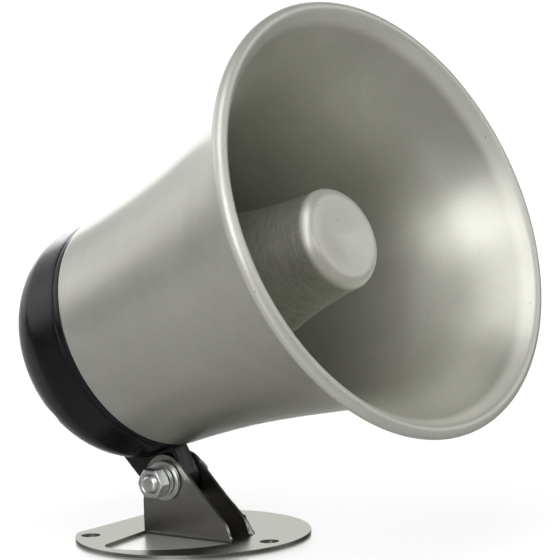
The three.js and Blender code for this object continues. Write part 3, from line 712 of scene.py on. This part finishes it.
near_win, far_win = smooth_loop(near_win, 2, 5), smooth_loop(far_win, 2, 5)
loops = [plate_out] + [ring2d(x, y, 2.8, 56) for x, y in ((-23.6, -17.9), (-23.6, 17.9), (28, 0))]
loops += [far_win, [(x, -y) for x, y in near_win]]
sheet = outline("sheet", loops, 1.0)
yc, ro, ri, top = 3.4, 1.5, 0.5, 26.0
u = arc(yc, ro, ro, -math.pi / 2, 0, 10) + [(4.9, top), (3.9, top)] + arc(yc, ro, ri, 0, -math.pi / 2, 8)
u += arc(-yc, ro, ri, -math.pi / 2, -math.pi, 8) + [(-3.9, top), (-4.9, top)] + arc(-yc, ro, ro, -math.pi, -math.pi / 2, 10)
fold = outline("fold", [u], 34.0)
move(fold, Matrix(((0, 0, 1, -15), (1, 0, 0, 0), (0, 1, 0, 0), (0, 0, 0, 1))))
px, pz, er = PIVOT.x, PIVOT.z, 7.4
fa = math.radians(32)
ear = [(-14.2, -1), (-14.2, 9.6), (-14.05, 11.2), (-13.6, 13.6), (px - er - 0.06, pz - 1.0)] + arc(px, pz, er, math.pi, fa, 40)
ear += [(9.3, 11.7), (12.4, 9.0), (14.2, 7.3), (15.4, 6.0), (16.3, 4.7), (16.8, 3.4), (17.1, 2.2), (17.6, 1.4), (18.2, 1.0), (18.2, -1)]
prism = outline("ear", [ear[::-1]], 12.0)
move(prism, Matrix.Translation((0, 6, 0)) @ Matrix.Rotation(math.pi / 2, 4, "X"))
cut(fold, [prism], "INTERSECT")
bracket = join(sheet, fold)
ph = rod("r", -8, 8, 2.8, 56)
move(ph, Matrix.Translation((px, 0, pz)) @ Matrix.Rotation(math.pi / 2, 4, "Z"))
cut(bracket, [ph])
tidy(bracket)
shade(bracket, 30)
even(bracket)
place(bracket, "base_bracket", "bracket", MM)

# ================================================================ pivot hardware, along Y
Y_AXIS = AT_PIVOT @ Matrix.Rotation(math.pi / 2, 4, "Z")  # lathe X becomes +Y


def washer(a0, a1, ri_, ro_, bev=0.18):
    return lathe("w", rounded([(a0, ri_, bev * 0.6), (a0, ro_, bev), (a1, ro_, bev), (a1, ri_, bev * 0.6)], closed=True, n=3), 96, closed=True)


place(shade(washer(5.2, 6.2, 2.8, 5.8)), "pivot_washer_far", "bracket", Y_AXIS)
place(shade(washer(-6.2, -5.2, 2.8, 5.8)), "pivot_washer_near", "bracket", Y_AXIS)


def spring_washer():
    """One turn of square wire, sprung open at the split."""
    verts, faces, n = [], [], 120
    gap, rise = 0.17, 0.12
    sec = rounded([(-0.5, 2.85, 0.12), (-0.5, 4.5, 0.16), (0.5, 4.5, 0.16), (0.5, 2.85, 0.12)], closed=True, n=3)
    for i in range(n + 1):
        t = gap + (2 * math.pi - 2 * gap) * i / n
        lift = rise * (2 * i / n - 1)
        for a, r in sec:
            sk = (a * 0.12)
            verts.append((a + lift, r * math.cos(t + sk), r * math.sin(t + sk)))
    m = len(sec)
    for i in range(n):
        for k in range(m):
            faces.append([i * m + k, i * m + (k + 1) % m, (i + 1) * m + (k + 1) % m, (i + 1) * m + k])
    faces.append(list(range(m)))
    faces.append([n * m + k for k in range(m)][::-1])
    return from_data("spring", verts, faces)


sw = shade(spring_washer(), 35)
move(sw, Matrix.Translation((-7.15, 0, 0)))
place(sw, "pivot_spring_washer", "bracket", Y_AXIS)


def hex_body(a0, a1, af, ch0=True, ch1=True):
    """Hexagon along X with turned chamfers: each flat's rounded corner line falls where the cone meets it."""
    rc, d, half = af / math.sqrt(3), 0.55, af / 2
    seg = 120
    verts, faces, rows = [], [], []

    def reach(t):
        u = (t + math.pi / 6) % (math.pi / 3) - math.pi / 6
        return half / math.cos(u)

    def drop(r):
        return max(0.0, (r - (half - 0.12)) / (rc - half + 0.12)) * d

    def row(f):
        rows.append(list(range(len(verts), len(verts) + seg)))
        for k in range(seg):
            t = 2 * math.pi * k / seg
            a, r = f(t)
            verts.append((a, r * math.cos(t), r * math.sin(t)))

    for k in range(7):
        w = 1 - k / 6
        row(lambda t, w=w: (a0 + (drop(max((half - 0.12) + (reach(t) - half + 0.12) * (1 - w), 0)) if ch0 else 0), (half - 0.12) + (reach(t) - half + 0.12) * (1 - w)))
    for k in range(7):
        w = k / 6
        row(lambda t, w=w: (a1 - (drop((half - 0.12) + (reach(t) - half + 0.12) * (1 - w)) if ch1 else 0), (half - 0.12) + (reach(t) - half + 0.12) * (1 - w)))
    for p, q in zip(rows, rows[1:]):
        for k in range(seg):
            n = (k + 1) % seg
            faces.append([p[k], p[n], q[n], q[k]])
    for a, r in ((a0, rows[0]), (a1, rows[-1])):
        c = len(verts)
        verts.append((a, 0, 0))
        faces += [[r[k], r[(k + 1) % seg], c] for k in range(seg)]
    return from_data("hex", verts, faces)


nut = hex_body(-12.1, -8.1, 8.0)
thread = [(-13, 0)]
k = -12.6
while k < -7.6:
    thread += [(k, 2.62), (k + 0.4, 2.86)]
    k += 0.8
thread += [(-7.4, 2.62), (-7.4, 0)]
cut(nut, [lathe("bore", thread, 48), lathe("csk", [(-12.6, 0), (-12.6, 3.75), (-11.75, 2.7), (-11.75, 0)], 64)])
move(nut, Matrix.Rotation(math.radians(30), 4, "X"))
shade(nut, 28)
place(nut, "pivot_nut", "bracket", Y_AXIS)

head = hex_body(6.5, 10.0, 8.0, ch0=False)
turns, shank = 9, [(7.5, 0), (7.5, 2.45), (-6.6, 2.45)]
a = -6.6
while a > -12.3:
    shank += [(a - 0.12, 2.45), (a - 0.4, 2.12), (a - 0.68, 2.45)]
    a -= 0.8
shank += [(-12.55, 2.35), (-12.85, 1.9), (-12.9, 1.5), (-12.9, 0)]
shank = [p for i, p in enumerate(shank) if i < 3 or p[0] > -12.5 or p[1] < 2.4]
bolt = join(head, lathe("shank", shank, 56))
shade(bolt, 28)
place(bolt, "pivot_bolt", "bracket", Y_AXIS)

# ================================================================ stage, camera, lights
floor_me = bpy.data.meshes.new("floor")
floor_me.from_pydata([(-6, -6, 0), (6, -6, 0), (6, 6, 0), (-6, 6, 0)], [], [(0, 1, 2, 3)])
floor_me.transform(Matrix.Rotation(math.radians(38.7), 4, "Z"))
floor = new_object("floor", floor_me)
fm, nt, b = nodes_of("floor_paper")
g = N(nt)
v = g.coords()
fn = g.noise(v, 0.6, 4, 0.6)
g.link(g.mix(fn, (0.46, 0.46, 0.445), (0.48, 0.48, 0.465)), b.inputs["Base Color"])
g.link(g.range(fn, 0.3, 0.7, 0.28, 0.32), b.inputs["Roughness"])
b.inputs["IOR"].default_value = 2.2
floor_me.materials.append(fm)

cam_data = bpy.data.cameras.new("camera")
cam = bpy.data.objects.new("camera", cam_data)
SC.collection.objects.link(cam)
SC.camera = cam
r2, u2, bk = (0.78339148, 0.62053565, -0.03511845), (-0.06757583, 0.14120672, 0.98767108), (0.61784408, -0.77135995, 0.15255335)
cam.matrix_world = Matrix(((r2[0], u2[0], bk[0], 1.08415231), (r2[1], u2[1], bk[1], -1.30943516), (r2[2], u2[2], bk[2], 0.33604076), (0, 0, 0, 1)))
cam_data.sensor_width, cam_data.lens = 36.0, 6000 * 36.0 / 560
cam_data.clip_start, cam_data.clip_end = 0.05, 30

world = bpy.data.worlds.new("studio")
world.use_nodes = True
world.node_tree.nodes["Background"].inputs[0].default_value = (1.0, 1.0, 1.0, 1)
world.node_tree.nodes["Background"].inputs[1].default_value = 0.02
SC.world = world


def area(name, loc, target, size, power, spread=180, size_y=None):
    d = bpy.data.lights.new(name, "AREA")
    d.energy, d.size, d.spread = power, size, math.radians(spread)
    if size_y:
        d.shape, d.size_y = "RECTANGLE", size_y
    o = bpy.data.objects.new(name, d)
    SC.collection.objects.link(o)
    o.location = loc
    o.rotation_mode = "QUATERNION"
    o.rotation_quaternion = (Vector(target) - Vector(loc)).to_track_quat("-Z", "Y")
    return o


CENTRE = Vector((0.03, 0, 0.08))
VIEW_AZ = math.atan2(-0.77136, 0.61784)


def softbox(name, az, el, size, power, dist=2.0):
    """A square softbox facing the object, az counted from the viewing side, in degrees."""
    t, e = VIEW_AZ + math.radians(az), math.radians(el)
    away = Vector((math.cos(t) * math.cos(e), math.sin(t) * math.cos(e), math.sin(e)))
    return area(name, CENTRE + away * dist, CENTRE, size, power)


softbox("left_back", -142, 14, 1.1, 3.2)
softbox("left", -105, 24, 1.2, 5.6)
softbox("key", -22, 22, 1.0, 12.0)
softbox("key_high", -8, 46, 1.0, 5.5)
softbox("mouth", 50, 29, 0.34, 2.3)
softbox("right", 100, 24, 1.0, 3.6)
softbox("overhead", 0, 72, 1.1, 9.5)
back = CENTRE + Vector((math.cos(VIEW_AZ + math.pi), math.sin(VIEW_AZ + math.pi), 0)) * 2.4
area("backdrop", (back.x, back.y, 0.75), (CENTRE.x, CENTRE.y, 0.5), 2.0, 25.0, 180, 1.4)
SC.view_settings.view_transform = "Standard"
SC.view_settings.look = "None"
SC.view_settings.exposure = 0.0
